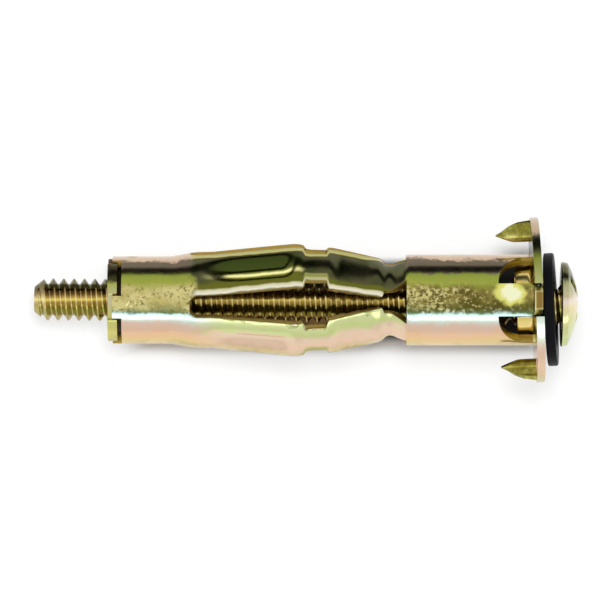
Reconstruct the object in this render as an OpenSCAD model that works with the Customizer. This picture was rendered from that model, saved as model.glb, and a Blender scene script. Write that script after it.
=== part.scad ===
// Hollow wall anchor. A sleeve of folded sheet steel has four bowed legs, a
// pronged flange at the head end and a keyed nut in the far end. A pan head
// screw runs through it, with a loose rubber washer under the head.
// Millimetres. The sleeve's axis lies along X with the head at +X, and X = 0 is
// the face of the flange that meets the wall. Depths are measured from there
// into the wall, so depth d is at X = -d. Angles round the axis start at +Z
// and turn towards -Y.

/* [Sheet] */
// Thickness of the sheet
sheet_t = 0.7; // [0.5:0.05:0.8]
// Length of the sleeve behind the wall face
sleeve_len = 35.6; // [31:0.2:45]
// Twist of the legs and the far end against the flange, in degrees
sleeve_twist = 10; // [0:1:14]

/* [Front tube] */
// Outer diameter of the round tube, for an 8 mm hole
tube_d = 7.88; // [7.4:0.02:8.6]
// Length of the round tube
tube_len = 11; // [8:0.1:13]

/* [Legs] */
// Width of the sheet in each leg
leg_w = 4.2; // [3.6:0.1:4.3]
// Width of the sheet that is left at the middle fold
fold_w = 2.8; // [2.2:0.1:3.2]
// Width of the sheet that is left at the neck
neck_w = 2; // [1.6:0.1:2.4]
// Length of the neck, where the legs dip in behind the tube
neck_len = 2.2; // [1.6:0.1:3]
// Outer diameter at the bottom of the neck
neck_d = 6.3; // [5.9:0.1:6.8]
// Outer diameter where the short legs leave the neck
toe_d = 7.2; // [6.8:0.1:7.6]
// Length of the short legs, from the neck to the middle fold
short_leg = 4.5; // [3.4:0.1:6]
// Length of the middle fold
fold_len = 2.2; // [1.6:0.1:3]
// Outer diameter at the middle fold
fold_d = 9.3; // [8.8:0.1:10]
// Outer diameter over the crests of the long legs
crest_d = 10; // [9.4:0.1:11]
// Outer diameter at the roots of the long legs
root_d = 8.35; // [7.9:0.05:8.8]
// Length of the bend between a long leg's root and the far collar
root_bend = 2.3; // [1.4:0.1:3]

/* [Pressed channels] */
// Depth of the channel pressed into each long leg
long_dip = 0.6; // [0.3:0.05:0.75]
// Radius of that channel's section
long_dip_r = 2.8; // [2:0.1:4]
// Depth of the flat pressed into each short leg
short_dip = 0.35; // [0.2:0.05:0.5]
// Radius of that flat's section
short_dip_r = 6; // [4:0.5:9]
// Sheet left plain at each end of a channel
dip_margin = 0.6; // [0.4:0.1:1]

/* [Far collar] */
// Outer diameter of the far collar
collar_d = 7.56; // [7.2:0.02:8]
// Length of the far collar
collar_len = 5.9; // [4.5:0.1:7]
// Width of the tabs that key the nut
key_w = 2; // [1.4:0.1:2.6]
// Length of those tabs
key_len = 0.8; // [0.5:0.1:1.1]
// Diameter of the punch marks that stake the nut
stake_d = 0.9; // [0.6:0.1:1.2]
// Depth of the punch marks
stake_depth = 0.35; // [0.2:0.05:0.45]
// Gap along the seam of the rolled sheet
seam_gap = 0.12; // [0.05:0.01:0.2]

/* [Flange] */
// Outer diameter of the flange
flange_d = 14.3; // [13:0.1:17]
// Lean of the flange against the sleeve's axis, in degrees
flange_lean = 2.5; // [0:0.5:3]
// Gap between the two wings of the flange
wing_gap = 2.86; // [2.4:0.02:3.4]
// Depth of the windows between the straps
window_len = 3.1; // [2:0.05:3.6]
// Angle at which a window meets a wing's strap, in degrees
window_end = 68; // [60:1:74]
// Length of the lip turned in round the screw
lip_len = 1.5; // [0.8:0.1:2]
// Radius of the fillet between the lip and the wings
lip_fillet = 0.6; // [0.3:0.05:0.7]
// Width of the bent ends of the plain straps, at their roots
tab_w = 2.6; // [2:0.1:2.6]
// Width of those bent ends at their tips
tab_tip = 1.6; // [1.2:0.1:2]
// Distance from the axis to the ends of those straps
tab_reach = 5; // [4.6:0.1:6]

/* [Prongs] */
// Length of a prong
prong_len = 3; // [2:0.1:3.6]
// Width of a prong at its root
prong_w = 2.1; // [1.6:0.1:2.3]
// Sheet left between a prong's root and the flange's rim
prong_rim = 0.1; // [0.1:0.05:0.4]
// Outer radius of the prong's gutter section
prong_curl = 1.3; // [1.1:0.05:2]

/* [Nut] */
// Outer diameter of the nut's plate
nut_d = 7.24; // [7:0.02:7.8]
// Thickness of the plate
nut_plate = 0.87; // [0.6:0.01:1.2]
// Gap between the plate and the end of the sleeve
nut_gap = 0.35; // [0.1:0.05:0.45]
// Length of the threaded barrel inside the collar
nut_barrel = 3; // [2:0.1:4]
// Clearance between the nut and the sleeve
nut_clear = 0.12; // [0.08:0.02:0.2]

/* [Screw] */
// Outer diameter of the thread
thread_d = 3.64; // [3.4:0.02:4.2]
// Diameter of the thread's core
core_d = 2.7; // [2.6:0.05:2.9]
// Distance from one crest of the thread to the next
pitch = 0.9; // [0.8:0.05:1]
// Width of the flat on a crest
crest_land = 0.12; // [0.08:0.02:0.16]
// Length under the head
screw_len = 45.6; // [43:0.2:60]
// Length of the chamfer at the tip
tip_len = 0.9; // [0.5:0.1:1.2]
// Diameter at the end of the tip
tip_d = 2.2; // [1.8:0.1:2.5]
// Radial clearance of the thread in the nut
thread_clear = 0.05; // [0.02:0.01:0.09]
// Lean of the screw in the nut, in degrees
screw_lean = 0.55; // [0:0.05:0.8]

/* [Head] */
// Outer diameter of the head
head_d = 7.36; // [6.6:0.02:8.4]
// Height of the head
head_h = 1.5; // [1.4:0.05:2.4]
// Height of the head's straight rim
head_rim = 0.5; // [0.3:0.05:0.7]
// Width of the slot and of the cross
drive_w = 0.9; // [0.7:0.05:1.1]
// Depth of the slot, which runs across the whole head
slot_depth = 0.75; // [0.5:0.05:0.9]
// Length of the cross
cross_len = 3.6; // [3:0.1:4.2]
// Depth of the cross
cross_depth = 1.2; // [0.9:0.05:1.3]
// Turn of the slot about the screw's axis, in degrees
drive_turn = 135; // [0:5:180]

/* [Washer] */
// Outer diameter of the rubber washer
washer_d = 9.8; // [8.6:0.1:11]
// Thickness of the washer
washer_t = 0.87; // [0.6:0.01:1.2]
// How much wider the washer's hole is than the thread
washer_slack = 1.06; // [0.6:0.02:1.4]
// Free play of the washer between the flange and the head
washer_play = 0.83; // [0.6:0.01:1.4]
// Gap that the washer keeps from whatever it leans on
washer_clear = 0.06; // [0.06:0.02:0.14]

/* [Hidden] */
$fn = 96;
LEGS = 4;
quarter = 360 / LEGS;
overcut = 1;
big = 30;

// Depths along the sleeve, from the wall face
neck_end = tube_len + neck_len;
fold_start = neck_end + short_leg;
fold_end = fold_start + fold_len;
slot_end = sleeve_len - collar_len;
crest_at = fold_end + 0.3;
crest_flat = 0.6;
root_at = slot_end - root_bend / 4;
collar_at = root_at + root_bend;
channel_start = crest_at + dip_margin / 2;
channel_end = root_at - dip_margin;

// Outer radius of the sheet at each depth, as [depth, radius]
sheet_line = [
  [-overcut, tube_d / 2],
  [tube_len, tube_d / 2],
  [tube_len + 0.58 * neck_len, neck_d / 2],
  [tube_len + 0.74 * neck_len, neck_d / 2],
  [neck_end, toe_d / 2],
  [fold_start - 0.3, fold_d / 2],
  [fold_end - 0.5, fold_d / 2 + 0.05],
  [crest_at, crest_d / 2],
  [crest_at + crest_flat, crest_d / 2],
  [root_at - 1.4, root_d / 2 + 0.03],
  [root_at, root_d / 2],
  [collar_at, collar_d / 2],
  [sleeve_len + key_len + overcut, collar_d / 2]
];

function sheet_r(d) = lookup(d, sheet_line);
function roll(d) = sleeve_twist * d / sleeve_len;
function place(d, r, a) = [-d, -r * sin(a), r * cos(a)];

// Width of sheet in a leg at each depth of the slots
corner = 0.25;
leg_line = [
  [tube_len, neck_w],
  [neck_end - 0.45, neck_w + 0.8],
  [neck_end - 0.05, leg_w],
  [fold_start, leg_w],
  [fold_start + corner, fold_w],
  [fold_end - corner, fold_w],
  [fold_end, leg_w],
  [slot_end - 0.5, leg_w],
  [slot_end - 0.15, leg_w + 0.35],
  [slot_end, leg_w + 0.9]
];

function half_slot(d) = quarter / 2 - lookup(d, leg_line) / 2 / (sheet_r(d) - sheet_t / 2) * 180 / PI;

// Depths at which the slots are measured: every bend of the sheet or the outline
slot_marks = [
  tube_len,
  tube_len + 0.58 * neck_len,
  neck_end - 0.45,
  neck_end - 0.05,
  (neck_end + fold_start) / 2,
  fold_start,
  fold_start + corner,
  fold_end - corner,
  fold_end,
  crest_at + crest_flat,
  (crest_at + root_at) / 2,
  root_at - 1.4,
  slot_end - 0.5,
  slot_end - 0.15,
  slot_end
];

// Fits round the screw
nut_at = sleeve_len + nut_gap;
nut_mid = nut_at + nut_plate / 2;
front_face = sheet_t;
bearing_x = front_face + washer_t + washer_play;
screw_drop = (nut_mid + front_face) * sin(screw_lean);
lip_r = thread_d / 2 + screw_drop + 0.08;
strap_angle = asin(wing_gap / tube_d);
bend_r = 0.15;

// The thread: where its first half turn lies from the tip, and the lean that
// brings a half turn on by half a pitch from one side of the core to the other
thread_from = 0.5;
thread_turns = floor((screw_len - thread_from) / pitch);
thread_lean = asin(pitch / (thread_d + core_d));

// How far the far end drops when the anchor lies down, on the corners of the
// flange's wings and the end of the far collar
rest_drop = sqrt(pow(flange_d / 2, 2) - pow(wing_gap / 2, 2)) - collar_d / 2;
lie_angle = atan(rest_drop / (sleeve_len + key_len));

// Pose of the washer
washer_hole = thread_d + washer_slack;
washer_tilt = asin((washer_play - 2 * washer_clear) / washer_d);
washer_drop = screw_drop + washer_slack / 2 - washer_clear;

// Turns what is drawn along Z so that it lies along X
module along_x() {
  rotate([0, 90, 0]) children();
}

// A straight round bar between two points
module bar(from, to, r) {
  run = to - from;
  translate(from)
    rotate([0, acos(run.z / norm(run)), atan2(run.y, run.x)])
      cylinder(h = norm(run), r = r);
}

// The solid under the sheet's outer face, or under its inner face
module sheet_solid(inset) {
  line = [for (p = sheet_line) [p[1] - inset, -p[0]]];
  along_x()
    rotate_extrude()
      polygon(concat([[0, line[0][1]]], line, [[0, line[len(line) - 1][1]]]));
}

// The cut between two legs
module slot_cut() {
  edge = function(d, side) [-d, -sheet_r(d) * sin(roll(d) + side * half_slot(d))];
  count = len(slot_marks);
  linear_extrude(height = crest_d)
    polygon([
      each [for (d = slot_marks) edge(d, 1)],
      each [for (i = [1 : count]) edge(slot_marks[count - i], -1)]
    ]);
}

// The bars that press the channels. Grown by the sheet, they shape its inside.
module channel(start, end, dip, r, grow) {
  lift = r - dip;
  from = place(start, sheet_r(start) + lift, quarter / 2 + roll(start));
  to = place(end, sheet_r(end) + lift, quarter / 2 + roll(end));
  step = grow * (to - from) / norm(to - from);
  bar(from - step, to + step, r + grow);
}

module channels(grow) {
  for (i = [0 : LEGS - 1])
    rotate([i * quarter, 0, 0]) {
      channel(channel_start, channel_end, long_dip, long_dip_r, grow);
      channel(neck_end + dip_margin / 2, fold_start - dip_margin, short_dip, short_dip_r, grow);
    }
}

// The quarter-round windows between the straps at the flange
module windows() {
  reach = tube_d;
  for (side = [0, 1], end = [0, 1])
    mirror([0, side, 0])
      mirror([0, 0, end])
        intersection() {
          rotate([strap_angle, 0, 0])
            cylinder(h = reach, r = window_len);
          rotate([90, 0, 90])
            linear_extrude(height = 2 * window_len, center = true)
              polygon([
                [0, 0],
                [-reach * sin(strap_angle), reach * cos(strap_angle)],
                [-reach * sin(window_end), reach * cos(window_end)]
              ]);
        }
}

// Tabs on the far end that pass through the nut's notches
module keys() {
  intersection() {
    translate([-sleeve_len - key_len, 0, 0])
      along_x()
        cylinder(h = key_len + overcut, d = collar_d);
    for (i = [0 : LEGS - 1])
      rotate([roll(sleeve_len) + i * quarter, 0, 0])
        translate([-sleeve_len - key_len, -key_w / 2, collar_d / 2 - sheet_t])
          cube([key_len + sheet_t, key_w, sheet_t]);
  }
}

// Punch marks over the nut's barrel
module stakes() {
  for (i = [0, 2])
    rotate([roll(sleeve_len) + i * quarter, 0, 0])
      translate([-sleeve_len + stake_d, stake_d / 2, collar_d / 2 - stake_depth])
        cylinder(h = 2 * stake_depth, d1 = 0.1, d2 = 2 * stake_d);
}

// The bent end of a plain strap, which lies in the gap between the wings
module strap_tab() {
  rim = tube_d / 2;
  root = rim - sheet_t;
  intersection() {
    rotate([90, 0, 0])
      linear_extrude(height = tab_w, center = true) {
        translate([-2 * bend_r, root])
          square([bend_r, sheet_t]);
        translate([0, rim + bend_r])
          square([sheet_t, tab_reach - rim - bend_r]);
        intersection() {
          translate([-bend_r, rim + bend_r])
            difference() {
              circle(r = bend_r + sheet_t);
              circle(r = bend_r);
            }
          translate([-bend_r, root])
            square([bend_r + sheet_t, bend_r + sheet_t]);
        }
      }
    rotate([90, 0, 90])
      linear_extrude(height = 4 * sheet_t, center = true)
        polygon([
          [-tab_w / 2, root],
          [tab_w / 2, root],
          [tab_w / 2, rim],
          [tab_tip / 2, tab_reach],
          [-tab_tip / 2, tab_reach],
          [-tab_w / 2, rim]
        ]);
  }
}

// A pointed gutter, bent back from a wing
module prong() {
  root = flange_d / 2 - prong_rim - prong_w / 2;
  intersection() {
    translate([-prong_len, root, sheet_t / 2 - prong_curl])
      along_x()
        difference() {
          cylinder(h = prong_len + sheet_t / 2, r = prong_curl);
          translate([0, 0, -overcut])
            cylinder(h = prong_len + 2 * overcut, r = prong_curl - sheet_t + 0.1);
        }
    linear_extrude(height = big, center = true)
      polygon([
        [sheet_t / 2, root - prong_w / 2],
        [-prong_len * 0.48, root - prong_w / 2],
        [-prong_len, root - prong_w * 0.17],
        [-prong_len * 0.62, root + prong_w * 0.23],
        [-prong_len * 0.36, root + prong_w * 0.4],
        [0, root + prong_w / 2],
        [sheet_t / 2, root + prong_w / 2]
      ]);
    translate([-big / 2, root - prong_w, sheet_t / 2 - prong_curl])
      cube([big, 2 * prong_w, 2 * prong_curl]);
  }
}

// The hole in a wing that its prong was cut from
module prong_hole() {
  root = flange_d / 2 - prong_rim - prong_w / 2;
  fall = prong_curl + 0.1;
  rotate([90, 0, 90])
    linear_extrude(height = big, center = true)
      polygon([
        [root - prong_w / 2, -fall],
        [root - prong_w / 2, -fall - prong_len * 0.4],
        [root - prong_w * 0.17, -fall - prong_len * 0.8],
        [root + prong_w * 0.35, -fall]
      ]);
}

// Two wings, each with half of the lip round the screw
module wings() {
  difference() {
    union() {
      along_x()
        cylinder(h = sheet_t, d = flange_d);
      along_x()
        rotate_extrude() {
          translate([lip_r, -lip_len])
            square([sheet_t, lip_len + sheet_t / 2]);
          difference() {
            translate([lip_r + sheet_t / 2, -lip_fillet])
              square([sheet_t / 2 + lip_fillet, lip_fillet + sheet_t / 2]);
            translate([lip_r + sheet_t + lip_fillet, -lip_fillet])
              circle(r = lip_fillet);
          }
        }
    }
    translate([-big / 2, 0, 0])
      along_x()
        cylinder(h = big, r = lip_r);
    for (half = [0, 180])
      rotate([half, 0, 0])
        prong_hole();
  }
  for (half = [0, 180])
    rotate([half, 0, 0])
      prong();
}

// Turns the sleeve's axis as it lies at rest, head end up
module lay_down() {
  rotate([0, -lie_angle, 0]) children();
}

// The sleeve: one sheet, rolled, slotted, pressed, bowed and flanged
module sleeve() {
  color("goldenrod") lay_down() {
    difference() {
      union() {
        difference() {
          sheet_solid(0);
          translate([sheet_t / 2, -big / 2, -big / 2])
            cube(big);
          difference() {
            sheet_solid(sheet_t);
            channels(sheet_t);
          }
          translate([-sleeve_len - big, -big / 2, -big / 2])
            cube(big);
          channels(0);
          for (i = [0 : LEGS - 1])
            rotate([i * quarter, 0, 0])
              slot_cut();
          windows();
          stakes();
        }
        keys();
        rotate([0, 0, flange_lean])
          wings();
      }
      translate([-bend_r, -wing_gap / 2, -big / 2])
        cube([big, wing_gap, big]);
      seam();
    }
    strap_tab();
    rotate([180, 0, 0])
      strap_tab();
  }
}

// The line where the two edges of the rolled sheet meet
module seam() {
  translate([-tube_len - overcut, -seam_gap / 2, -big])
    cube([tube_len, seam_gap, big]);
  rotate([roll(slot_end + collar_len / 2), 0, 0])
    translate([-sleeve_len - 2 * key_len, -seam_gap / 2, -big])
      cube([collar_len + 4 * key_len, seam_gap, big]);
}

// The nut: a notched plate with a threaded barrel inside the far collar
module nut() {
  bore = collar_d / 2 - sheet_t;
  color("darkkhaki") lay_down()
    difference() {
      translate([-nut_at, 0, 0])
        along_x() {
          translate([0, 0, -nut_plate])
            cylinder(h = nut_plate, d = nut_d);
          cylinder(h = nut_barrel, r = bore - nut_clear);
        }
      for (i = [0 : LEGS - 1])
        rotate([roll(sleeve_len) + i * quarter, 0, 0])
          translate([-nut_at - big, -key_w / 2 - nut_clear, bore - nut_clear])
            cube([big, key_w + 2 * nut_clear, big]);
      on_screw()
        translate([-big - nut_at, 0, 0])
          along_x()
            cylinder(h = 2 * big, d = thread_d + 2 * thread_clear);
    }
}

// Leans what lies along the sleeve's axis with the screw, about the nut
module on_screw() {
  translate([-nut_mid, 0, 0])
    rotate([0, 0, -screw_lean])
      translate([nut_mid, 0, 0])
        children();
}

// The slot and the cross in the head
module drive() {
  top = bearing_x + head_h;
  rotate([drive_turn, 0, 0]) {
    translate([top - slot_depth, -drive_w / 2, -head_d])
      cube([big, drive_w, 2 * head_d]);
    translate([top - cross_depth, -cross_len / 2, -drive_w / 2])
      cube([big, cross_len, drive_w]);
    translate([top - cross_depth, -drive_w / 2, -cross_len / 2])
      cube([big, drive_w, cross_len]);
  }
}

// Half a turn of the thread, above the core for side 1 and below it for side -1
module half_turn(side) {
  foot = (pitch - crest_land) / 2;
  land = crest_land / 2;
  rotate([0, 0, side * thread_lean])
    rotate([side * 90 - 90, 0, 0])
      along_x()
        rotate([0, 0, 90])
          rotate_extrude(angle = 180)
            polygon([
              [core_d / 2 - 0.1, -foot],
              [core_d / 2, -foot],
              [thread_d / 2, -land],
              [thread_d / 2, land],
              [core_d / 2, foot],
              [core_d / 2 - 0.1, foot]
            ]);
}

// The thread. Each half turn is a half ring that leans, so its ends meet those
// of the half turns before and after it, and together they wind like a helix.
module thread() {
  for (i = [0 : thread_turns - 1])
    translate([thread_from + i * pitch, 0, 0]) {
      half_turn(-1);
      translate([pitch / 2, 0, 0])
        half_turn(1);
    }
}

// What a lathe takes off the tip: a chamfer on the thread and its core
module tip_cut() {
  along_x()
    rotate_extrude()
      polygon([
        [0, 0],
        [tip_d / 2, 0],
        [thread_d / 2, tip_len],
        [thread_d, tip_len],
        [thread_d, -pitch],
        [0, -pitch]
      ]);
}

// The screw: a threaded shank, a chamfered tip and a pan head
module screw() {
  cap = head_h - head_rim;
  cap_r = (pow(head_d / 2, 2) + cap * cap) / (2 * cap);
  color("gold") lay_down()
    on_screw()
      difference() {
        union() {
          translate([bearing_x - screw_len, 0, 0]) {
            along_x()
              cylinder(h = screw_len + head_rim / 2, d = core_d);
            thread();
          }
          translate([bearing_x, 0, 0])
            along_x()
              rotate_extrude()
                intersection() {
                  square([head_d / 2, head_h]);
                  translate([0, head_h - cap_r])
                    circle(r = cap_r, $fn = 200);
                }
        }
        translate([bearing_x - screw_len, 0, 0])
          tip_cut();
        drive();
      }
}

// The rubber washer: loose on the thread, leaning between the flange and head
module washer() {
  edge = washer_t / 2;
  color("black") lay_down()
    translate([front_face + (washer_t + washer_play) / 2, -washer_drop, 0])
      rotate([0, -washer_tilt, flange_lean])
        along_x()
          rotate_extrude() {
            translate([washer_hole / 2, -edge])
              square([washer_d / 2 - washer_hole / 2 - edge, washer_t]);
            translate([washer_d / 2 - edge, 0])
              circle(r = edge);
          }
}

sleeve();
nut();
screw();
washer();
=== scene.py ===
# %% [markdown]
# # A hollow wall anchor
# One sheet of steel makes the sleeve: it is rolled into a tube, slotted into four
# legs that are bowed outwards, and folded out at one end into a flange with two
# wings and two prongs. A nut sits in the far end, a pan head screw runs through
# the whole length and a rubber washer hangs loose under the head. All of the
# steel is plated with zinc and passivated yellow, which gives it a thin film
# with the colours of oil on water.
#
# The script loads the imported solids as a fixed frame, makes each piece in the
# sleeve's own frame, and turns it to where the anchor lies.

# %% Load the frame
import bpy
import math
from mathutils import Matrix, Vector
from mathutils.geometry import delaunay_2d_cdt


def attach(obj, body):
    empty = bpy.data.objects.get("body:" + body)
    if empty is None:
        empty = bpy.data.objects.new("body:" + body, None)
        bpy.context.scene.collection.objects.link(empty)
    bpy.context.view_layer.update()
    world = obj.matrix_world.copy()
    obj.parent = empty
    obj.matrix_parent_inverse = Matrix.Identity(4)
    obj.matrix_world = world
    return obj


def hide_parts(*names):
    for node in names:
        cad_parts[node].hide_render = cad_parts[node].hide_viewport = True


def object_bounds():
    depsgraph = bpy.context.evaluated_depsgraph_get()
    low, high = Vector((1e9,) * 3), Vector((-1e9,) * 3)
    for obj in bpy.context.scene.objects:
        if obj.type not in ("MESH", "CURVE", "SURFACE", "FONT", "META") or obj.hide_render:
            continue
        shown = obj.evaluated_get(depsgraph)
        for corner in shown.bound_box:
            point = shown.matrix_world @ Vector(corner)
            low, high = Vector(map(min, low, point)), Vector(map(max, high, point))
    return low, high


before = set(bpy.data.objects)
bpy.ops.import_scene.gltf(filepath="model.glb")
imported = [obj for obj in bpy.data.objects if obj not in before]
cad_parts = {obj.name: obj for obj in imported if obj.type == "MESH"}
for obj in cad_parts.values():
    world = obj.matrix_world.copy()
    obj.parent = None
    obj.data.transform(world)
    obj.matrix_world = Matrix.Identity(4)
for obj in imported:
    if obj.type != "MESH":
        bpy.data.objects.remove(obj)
cad_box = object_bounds()
print("solids loaded:", ", ".join(sorted(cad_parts)))

# %% [markdown]
# ## Sizes
# Every size is in millimetres, as on a drawing, and becomes metres only when a
# mesh is made. Depths are measured from the flange's wall face into the wall.
# Angles round the axis start at +Z, which faces up, and turn towards -Y.

# %% Sizes of the anchor
MM = 0.001
SHEET = 0.7
SLEEVE_LEN = 35.6
TWIST = 10
TUBE_R = 3.94
TUBE_LEN = 11.0
LEG_W, FOLD_W, NECK_W = 4.2, 2.8, 2.0
NECK_END = TUBE_LEN + 2.2
FOLD_START = NECK_END + 4.5
FOLD_END = FOLD_START + 2.2
SLOT_END = SLEEVE_LEN - 5.9
CREST = FOLD_END + 0.3
COLLAR_BEND = 2.3
ROOT = SLOT_END - COLLAR_BEND / 4
COLLAR = ROOT + COLLAR_BEND
COLLAR_R = 3.78
KEY_W, KEY_LEN = 2.0, 0.8
FLANGE_R = 7.15
FLANGE_LEAN = 2.5
WING_GAP = 2.86
STRAP = math.degrees(math.asin(WING_GAP / (2 * TUBE_R)))
WINDOW_LEN, WINDOW_END = 3.1, 68
BEND_R = 0.4
THREAD_R, CORE_R = 1.82, 1.35
PITCH, CREST_LAND, THREAD_FROM = 0.9, 0.12, 0.5
TIP_R, TIP_LEN = 1.1, 0.9
SCREW_LEN = 45.6
SCREW_LEAN = 0.55
NUT_AT = SLEEVE_LEN + 0.35
NUT_PLATE = 0.87
NUT_MID = NUT_AT + NUT_PLATE / 2
WASHER_T, WASHER_PLAY, WASHER_CLEAR = 0.87, 0.83, 0.06
WASHER_R = 4.9
BEARING = SHEET + WASHER_T + WASHER_PLAY
DROP = (NUT_MID + SHEET) * math.sin(math.radians(SCREW_LEAN))
LIP_R = THREAD_R + DROP + 0.08
LIP_LEN, FILLET = 1.5, 0.6
HEAD_R, HEAD_H, HEAD_RIM = 3.68, 1.5, 0.5
SLOT_W, SLOT_DEPTH, CROSS_LEN, CROSS_DEPTH, DRIVE_TURN = 0.9, 0.75, 3.6, 1.2, 135

REST_DROP = math.sqrt(FLANGE_R ** 2 - (WING_GAP / 2) ** 2) - COLLAR_R
LIE = math.atan(REST_DROP / (SLEEVE_LEN + KEY_LEN))
LAY = Matrix.Rotation(-LIE, 4, "Y")
ON_SCREW = (
    Matrix.Translation((-NUT_MID * MM, 0, 0))
    @ Matrix.Rotation(-math.radians(SCREW_LEAN), 4, "Z")
    @ Matrix.Translation((NUT_MID * MM, 0, 0))
)
print("the far end drops by", round(math.degrees(LIE), 2), "degrees at rest")

# %% [markdown]
# ## From a mesh to a piece
# A finished piece has its place in its vertices, and its object sits at the
# origin. So each mesh is written in the sleeve's frame and then turned, once,
# by the matrix that lays the anchor down.

# %% Making a piece
def new_piece(name, points, faces, place=None):
    mesh = bpy.data.meshes.new(name)
    mesh.from_pydata([Vector(p) * MM for p in points], [], faces)
    mesh.transform(LAY @ (place or Matrix.Identity(4)))
    mesh.update()
    piece = bpy.data.objects.new(name, mesh)
    bpy.context.scene.collection.objects.link(piece)
    return piece


def add_modifier(piece, kind, **settings):
    modifier = piece.modifiers.new(kind.title(), kind)
    for key, value in settings.items():
        setattr(modifier, key, value)
    return modifier


def apply_modifiers(piece):
    bpy.context.view_layer.update()
    done = piece.evaluated_get(bpy.context.evaluated_depsgraph_get())
    mesh = bpy.data.meshes.new_from_object(done)
    piece.modifiers.clear()
    piece.data = mesh
    return piece


def smooth(piece, angle=35):
    piece.data.shade_smooth()
    piece.data.set_sharp_from_angle(angle=math.radians(angle))
    return piece


def count(piece):
    piece.data.calc_loop_triangles()
    return len(piece.data.loop_triangles)


# %% [markdown]
# ## The formed sheet
# The real sleeve starts as a flat blank that is punched, rolled and pressed. It
# is made here in the same way: the blank is an outline with holes in a flat
# plane, filled with small triangles, and a function then moves every point of
# the flat plane to its place on the formed sleeve. Solidify gives the sheet its
# thickness and Bevel rounds the punched edges, which is where the light catches.

# %% The sleeve's profile
NECK_R = 3.15
# Depth and outer radius, from the flange to the far end
SHEET_LINE = [
    (-1, TUBE_R), (TUBE_LEN, TUBE_R), (TUBE_LEN + 1.276, NECK_R), (TUBE_LEN + 1.628, NECK_R),
    (NECK_END, 3.6), (FOLD_START - 0.3, 4.65), (FOLD_END - 0.5, 4.7), (CREST, 5.0),
    (CREST + 0.6, 5.0), (ROOT - 1.4, 4.205), (ROOT, 4.175), (COLLAR, COLLAR_R), (40, COLLAR_R),
]
# Depth and the width of sheet that is left in a leg
LEG_LINE = [
    (TUBE_LEN, NECK_W), (NECK_END - 0.45, NECK_W + 0.8), (NECK_END - 0.05, LEG_W),
    (FOLD_START, LEG_W), (FOLD_START + 0.25, FOLD_W), (FOLD_END - 0.25, FOLD_W),
    (FOLD_END, LEG_W), (SLOT_END - 0.5, LEG_W), (SLOT_END - 0.15, LEG_W + 0.35),
    (SLOT_END, LEG_W + 0.9),
]


def lookup(x, line):
    if x <= line[0][0]:
        return line[0][1]
    for (x0, y0), (x1, y1) in zip(line, line[1:]):
        if x <= x1:
            return y0 + (y1 - y0) * (x - x0) / (x1 - x0)
    return line[-1][1]


def bent(x, line, reach=0.24, half=3):
    """The profile with its corners rounded, as a press leaves them."""
    near = [lookup(x + reach * i / half, line) for i in range(-half, half + 1)]
    return sum(near) / len(near)


def roll(depth):
    return TWIST * depth / SLEEVE_LEN


def half_slot(depth):
    """Half the angle of a slot, from the width of sheet that is left in a leg."""
    return 45 - math.degrees(lookup(depth, LEG_LINE) / 2 / (lookup(depth, SHEET_LINE) - SHEET / 2))


fold_mid = (FOLD_START + FOLD_END) / 2
opening = 2 * lookup(fold_mid, SHEET_LINE) * math.sin(math.radians(half_slot(fold_mid)))
print("a slot is", round(opening, 2), "mm wide at the middle fold")

# %% [markdown]
# The blank's own plane has the depth along one side and the distance round the
# tube along the other, measured from the middle of a leg slot so that the slots
# run straight. The windows and the straps are drawn with the twist taken out.

# %% The blank's outline
PER_DEG = TUBE_R * math.pi / 180
SEAM = (180 - 0.9) * PER_DEG
FINE = 0.2


def finely(points):
    """The same closed outline with a point at least every FINE millimetres."""
    out = []
    for (x0, y0), (x1, y1) in zip(points, points[1:] + points[:1]):
        n = max(1, round(math.hypot(x1 - x0, y1 - y0) / FINE))
        out += [(x0 + (x1 - x0) * i / n, y0 + (y1 - y0) * i / n) for i in range(n)]
    return out


def slot_marks():
    marks = {d for d, _ in LEG_LINE} | {d for d, _ in SHEET_LINE if TUBE_LEN < d < SLOT_END}
    return sorted(marks)


def slot_edge(side):
    return [(d, side * half_slot(d) * PER_DEG) for d in slot_marks()]


def untwist(depth, angle):
    return (depth, (angle - roll(depth)) * PER_DEG)


def window_edge():
    """One window, from the plain strap at angle 0 round to the wing's strap."""
    arc = [(WINDOW_LEN, STRAP)]
    for i in range(1, 13):
        angle = STRAP + (WINDOW_END - STRAP) * i / 12
        across = TUBE_R * math.sin(math.radians(angle - STRAP))
        arc.append((math.sqrt(WINDOW_LEN ** 2 - across ** 2), angle))
    return arc


# How far out a strap's tab and a wing's strap reach, and half the tab's width
TAB_OUT, WING_OUT = 1.05, 0.3
TAB_TIP_W, TAB_W = 0.8, 1.3
TAB_TAPER_END, TAB_ROOT = -0.086, 0.15


def front_edge():
    """The front end of the blank, from angle -180 to 180."""
    tip, tab = (math.degrees(math.asin(width / TUBE_R)) for width in (TAB_TIP_W, TAB_W))
    quarter = [(-TAB_OUT, 0), (-TAB_OUT, tip), (TAB_TAPER_END, tab), (TAB_ROOT, tab),
               (TAB_ROOT, STRAP), *window_edge(), (-WING_OUT, WINDOW_END), (-WING_OUT, 90)]
    half = quarter + [(d, 180 - a) for d, a in reversed(quarter[:-1])]
    other = [(d, -a) for d, a in reversed(half[1:])]
    return [untwist(d, a) for d, a in other + half]


def far_edge():
    """The far end of the blank, from angle 180 down to -180, with its four keys."""
    key = math.degrees(math.asin(KEY_W / 2 / COLLAR_R)) * PER_DEG
    edge = []
    for k in (180, 90, 0, -90, -180):
        middle = k * PER_DEG
        edge += [(SLEEVE_LEN, middle + key), (SLEEVE_LEN + KEY_LEN, middle + key),
                 (SLEEVE_LEN + KEY_LEN, middle - key), (SLEEVE_LEN, middle - key)]
    edge = within_seam(edge)
    return [p for i, p in enumerate(edge) if i == 0 or p != edge[i - 1]]


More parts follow.
